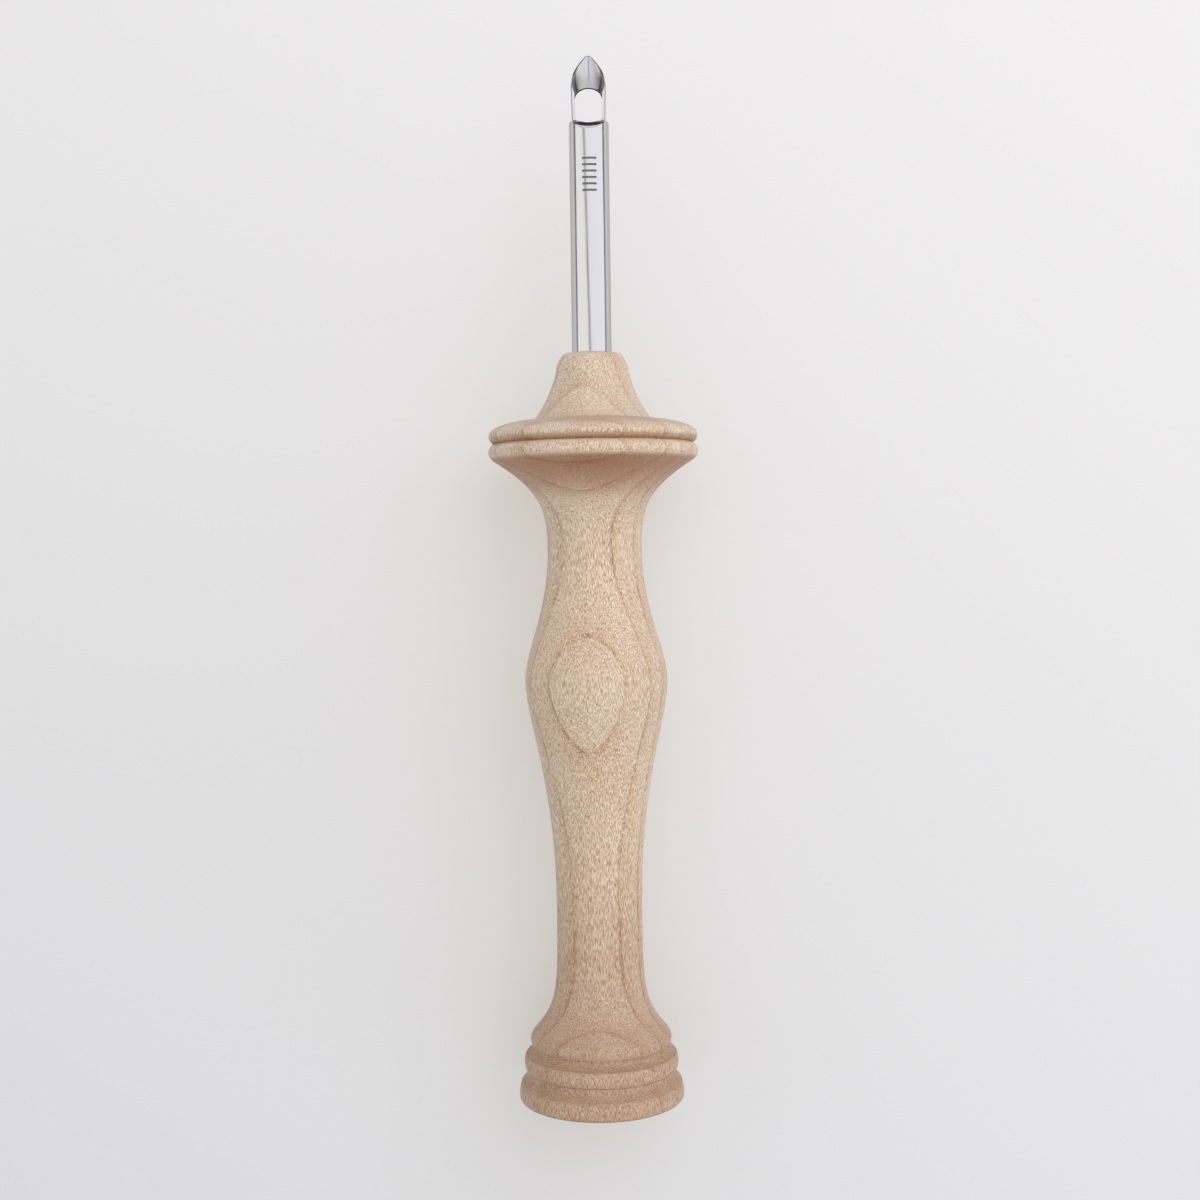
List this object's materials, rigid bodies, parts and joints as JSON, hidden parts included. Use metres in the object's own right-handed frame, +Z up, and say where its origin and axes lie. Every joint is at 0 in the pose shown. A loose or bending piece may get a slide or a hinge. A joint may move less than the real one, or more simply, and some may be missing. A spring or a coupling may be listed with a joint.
{
  "type": "punch needle",
  "caption": "Hand punch needle for rug yarn: a turned wooden handle with a beaded flange and a yarn channel, and a slotted tubular steel needle with an eye behind its point.",
  "frame": {"origin": "bottom centre of the bounding box, on the surface that the tool lies on, resting on its flange and foot", "axes": "+Y along the tool towards the needle's point, +Z up and away from the yarn channel, +X to the right seen from above with the point away"},
  "size_m": [0.0318, 0.1598, 0.0316],
  "materials": {
    "maple": "turned and sanded, thin satin oil",
    "needle_steel": "polished",
    "glue": "clear, slightly amber"
  },
  "bodies": {
    "root": {"handle": "maple", "needle": "needle_steel", "glue_sleeve": "glue"}
  },
  "joints": []
}
